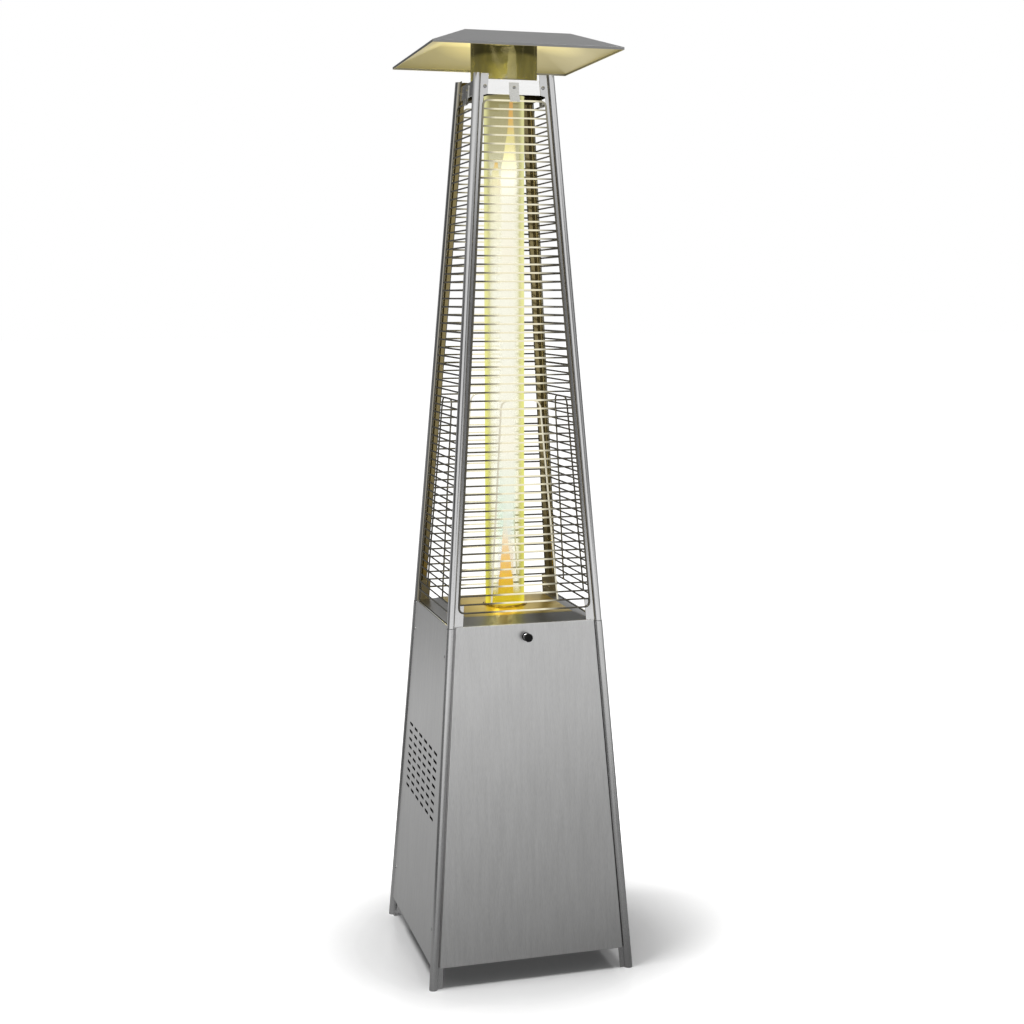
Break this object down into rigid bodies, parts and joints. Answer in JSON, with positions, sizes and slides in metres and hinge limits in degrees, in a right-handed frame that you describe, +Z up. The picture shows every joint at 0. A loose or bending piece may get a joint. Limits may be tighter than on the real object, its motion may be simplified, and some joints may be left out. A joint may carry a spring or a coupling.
{
  "type": "pyramid patio heater",
  "caption": "Tall pyramid gas patio heater: tapered steel cabinet with a drop-down front door, glass flame tube behind wire guards, and a square reflector.",
  "frame": {"origin": "centre of the square footprint on the floor, under the four feet", "axes": "+Z up the heater, -Y towards the user in front of the door, +X to the user's right"},
  "size_m": [0.519, 0.519, 2.27],
  "materials": {
    "post_steel": "brushed along the post",
    "panel_steel": "fine upright grain",
    "burner_steel": "satin, heat tinted",
    "bright_steel": "satin",
    "dark_steel": "matt",
    "frame_steel": "satin",
    "screw_steel": "satin",
    "guard_wire": "drawn wire",
    "screen_steel": "heat tinted",
    "reflector_steel": "fine grain",
    "glass": "clear",
    "black_plastic": "satin",
    "red_plastic": "gloss",
    "brass": "as cast and turned",
    "copper": "drawn tube",
    "ceramic": "unglazed",
    "rubber": "smooth"
  },
  "bodies": {
    "frame": {"lower_post_fl": "post_steel", "lower_post_fr": "post_steel", "lower_post_bl": "post_steel", "lower_post_br": "post_steel", "upper_post_fl": "post_steel", "upper_post_fr": "post_steel", "upper_post_bl": "post_steel", "upper_post_br": "post_steel", "post_splice_fl": "bright_steel", "post_splice_fr": "bright_steel", "post_splice_bl": "bright_steel", "post_splice_br": "bright_steel", "base_shelf": "dark_steel", "side_panel_left": "panel_steel", "side_panel_right": "panel_steel", "back_panel": "panel_steel", "door_hinge_rod": "bright_steel", "door_magnet": "black_plastic", "burner_plate": "burner_steel", "glass_seat": "bright_steel", "glass_tube": "glass", "control_box": "panel_steel", "gas_valve": "brass", "igniter_body": "black_plastic", "gas_inlet": "brass", "feed_tube": "copper", "injector": "brass", "burner_cup": "burner_steel", "burner_grid": "burner_steel", "pilot_tube": "copper", "thermocouple": "copper", "spark_electrode": "ceramic", "ignition_lead": "rubber", "tilt_switch": "black_plastic", "top_frame": "frame_steel", "guard_clip_front": "frame_steel", "guard_clip_right": "frame_steel", "guard_clip_back": "frame_steel", "guard_clip_left": "frame_steel", "guard_front": "guard_wire", "guard_right": "guard_wire", "guard_back": "guard_wire", "guard_left": "guard_wire", "frame_screw_front_left": "screw_steel", "frame_screw_front_right": "screw_steel", "frame_screw_right_left": "screw_steel", "frame_screw_right_right": "screw_steel", "frame_screw_back_left": "screw_steel", "frame_screw_back_right": "screw_steel", "frame_screw_left_left": "screw_steel", "frame_screw_left_right": "screw_steel", "flame_screen": "screen_steel", "reflector": "reflector_steel"},
    "door": {"front_door": "panel_steel", "door_knob": "black_plastic", "door_strike": "bright_steel"},
    "valve_stem": {"valve_spindle": "bright_steel"},
    "dial": {"control_knob": "black_plastic"},
    "ignition_push": {"igniter_button": "red_plastic"}
  },
  "joints": [
    {"name": "door_hinge", "type": "hinge", "parent": "frame", "child": "door", "pos_m": [0, -0.24869, 0.05427], "axis": [1, 0, 0], "range_deg": [0, 90]},
    {"name": "valve_push", "type": "slide", "parent": "frame", "child": "valve_stem", "axis": [0, 1, 0], "range_m": [0, 0.003], "stiffness_N_per_m": 1500, "springref_m": -0.002},
    {"name": "dial_turn", "type": "hinge", "parent": "valve_stem", "child": "dial", "pos_m": [-0.035, -0.155, 0.815], "axis": [0, -1, 0], "range_deg": [0, 180]},
    {"name": "igniter_press", "type": "slide", "parent": "frame", "child": "ignition_push", "axis": [0, 1, 0], "range_m": [0, 0.004], "stiffness_N_per_m": 1200, "springref_m": -0.002}
  ]
}
